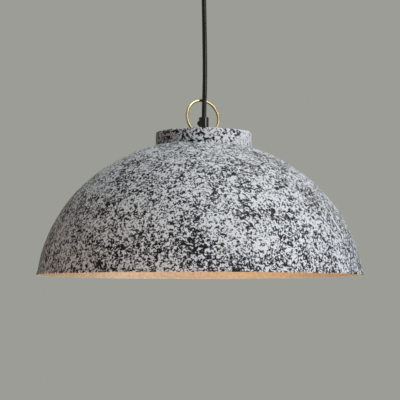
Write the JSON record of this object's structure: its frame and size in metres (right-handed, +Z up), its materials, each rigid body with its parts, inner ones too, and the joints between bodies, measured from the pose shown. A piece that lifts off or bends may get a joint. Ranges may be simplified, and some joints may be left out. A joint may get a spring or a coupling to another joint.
{
  "type": "pendant lamp",
  "caption": "Dome pendant lamp, mouth down, with a short round collar, a brass ring at the cord, an opal bulb inside and a round ceiling canopy on a black cord.",
  "frame": {"origin": "on the ceiling plane, midway between the bracket's two slots, on the cord's axis", "axes": "+Z up through the ceiling, +X to the right of the picture, +Y away from the camera; the lamp hangs below the origin"},
  "size_m": [0.4514, 0.4513, 0.4556],
  "materials": {
    "papier_mache": "semi-matt paint, fine black flecks on white, hand-laid surface",
    "collar_paper": "semi-matt paint, larger black flecks on white",
    "disc_board": "plywood disc, painted matt black",
    "black_plastic": "glossy black moulding",
    "canopy_plastic": "satin black moulding",
    "cord_textile": "round cord in a black satin braid",
    "ring_brass": "polished wire",
    "boss_brass": "turned and polished",
    "plated_steel": "zinc plated",
    "screw_steel": "bright steel",
    "terminal_body": "natural nylon",
    "terminal_brass": "plain machined",
    "lead_brown": "brown insulation",
    "lead_blue": "blue insulation",
    "insert_ceramic": "unglazed white",
    "shell_brass": "nickel-washed sheet",
    "bulb_glass": "opal coating inside",
    "bulb_cap": "bright rolled sheet",
    "bulb_insulator": "black glass"
  },
  "bodies": {
    "ceiling": {"ceiling_bracket": "plated_steel", "ceiling_canopy": "canopy_plastic", "canopy_screws": "black_plastic", "canopy_grip": "black_plastic", "canopy_grip_nut": "canopy_plastic", "canopy_grip_screw": "black_plastic", "terminal_block": "terminal_body", "terminal_barrels": "terminal_brass", "terminal_screws": "screw_steel", "block_fixing_screw": "screw_steel", "ceiling_lead_live": "lead_brown", "ceiling_lead_neutral": "lead_blue", "cord_end": "cord_textile"},
    "pendant": {"cord": "cord_textile", "cord_grip": "black_plastic", "cord_grip_screw": "black_plastic", "ring_boss": "boss_brass", "threaded_tube": "plated_steel", "top_washer": "plated_steel", "collar_disc": "disc_board", "shade_collar": "collar_paper", "shade_dome": "papier_mache", "under_washer": "plated_steel", "under_nut": "plated_steel", "holder_cap": "black_plastic", "holder_grub_screw": "screw_steel", "holder_insert": "insert_ceramic", "holder_shell": "shell_brass", "holder_centre_contact": "terminal_brass", "holder_terminal_screws": "screw_steel", "holder_skirt": "black_plastic", "holder_lead_live": "lead_brown", "holder_lead_neutral": "lead_blue"},
    "ring": {"hanging_ring": "ring_brass"},
    "bulb_base": {"bulb_contact": "screw_steel"},
    "bulb": {"bulb_insulator": "bulb_insulator", "bulb_cap": "bulb_cap", "bulb_glass": "bulb_glass"}
  },
  "joints": [
    {"name": "pendant_sway", "type": "hinge", "parent": "ceiling", "child": "pendant", "pos_m": [0, 0, -0.055], "axis": [1, 0, 0], "range_deg": [-15, 15]},
    {"name": "ring_fold", "type": "hinge", "parent": "pendant", "child": "ring", "pos_m": [0, 0, -0.2558], "axis": [-0.8771, -0.4802, 0], "range_deg": [0, 92]},
    {"name": "bulb_travel", "type": "slide", "parent": "pendant", "child": "bulb_base", "axis": [0, 0, -1], "range_m": [0, 0.0128]},
    {"name": "bulb_turn", "type": "hinge", "parent": "bulb_base", "child": "bulb", "pos_m": [0, 0, -0.3424], "axis": [0, 0, -1], "range_deg": [0, 1260]}
  ],
  "couplings": [
    {"joint": "bulb_travel", "follows": "bulb_turn", "m_per_rad": 0.0005776}
  ]
}
